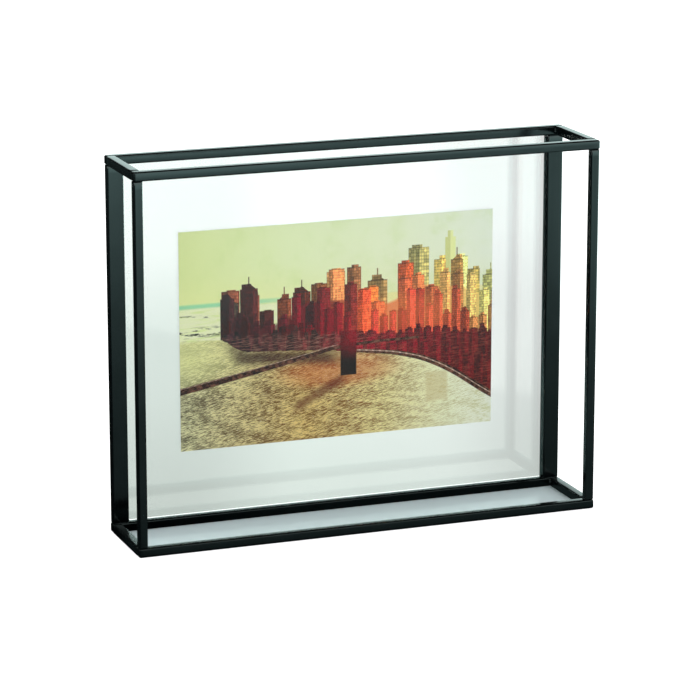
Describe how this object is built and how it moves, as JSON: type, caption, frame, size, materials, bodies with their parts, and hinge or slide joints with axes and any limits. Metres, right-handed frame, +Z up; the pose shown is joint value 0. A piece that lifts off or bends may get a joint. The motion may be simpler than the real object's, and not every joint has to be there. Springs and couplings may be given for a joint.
{
  "type": "floating frame",
  "caption": "Free-standing open box frame of slim black steel bars, with a landscape print floating between glass panes at the rear.",
  "frame": {"origin": "middle of the outline in X and Y, on the surface the frame stands on", "axes": "+X to the right seen from the front, +Y to the back where the glass is, +Z up"},
  "size_m": [0.216, 0.0502, 0.17],
  "materials": {
    "black_steel": "semi-gloss powder coat",
    "rail_steel": "semi-gloss powder coat on folded sheet",
    "clear_glass": "polished faces, ground edges",
    "photo_paper": "glossy photo paper",
    "pad_rubber": "matt"
  },
  "bodies": {
    "frame": {"bottom_front_bar": "black_steel", "bottom_rear_bar": "black_steel", "bottom_left_bar": "black_steel", "bottom_right_bar": "black_steel", "top_front_bar": "black_steel", "top_rear_bar": "black_steel", "top_left_bar": "black_steel", "top_right_bar": "black_steel", "front_post_left": "black_steel", "front_post_right": "black_steel", "rear_post_left": "black_steel", "rear_post_right": "black_steel", "glass_rail_left": "rail_steel", "glass_rail_right": "rail_steel", "glass_ledge_left": "rail_steel", "glass_ledge_right": "rail_steel", "glass_ledge_pad_left": "pad_rubber", "glass_ledge_pad_right": "pad_rubber"},
    "front_glass": {"front_glass_pane": "clear_glass"},
    "back_glass": {"back_glass_pane": "clear_glass"},
    "print": {"photo_print": "photo_paper"}
  },
  "joints": [
    {"name": "front_glass_lift", "type": "slide", "parent": "frame", "child": "front_glass", "axis": [0, 0, 1], "range_m": [0, 0.17]},
    {"name": "back_glass_lift", "type": "slide", "parent": "frame", "child": "back_glass", "axis": [0, 0, 1], "range_m": [0, 0.17]},
    {"name": "print_lift", "type": "slide", "parent": "back_glass", "child": "print", "axis": [0, 0, 1], "range_m": [0, 0.14]}
  ]
}
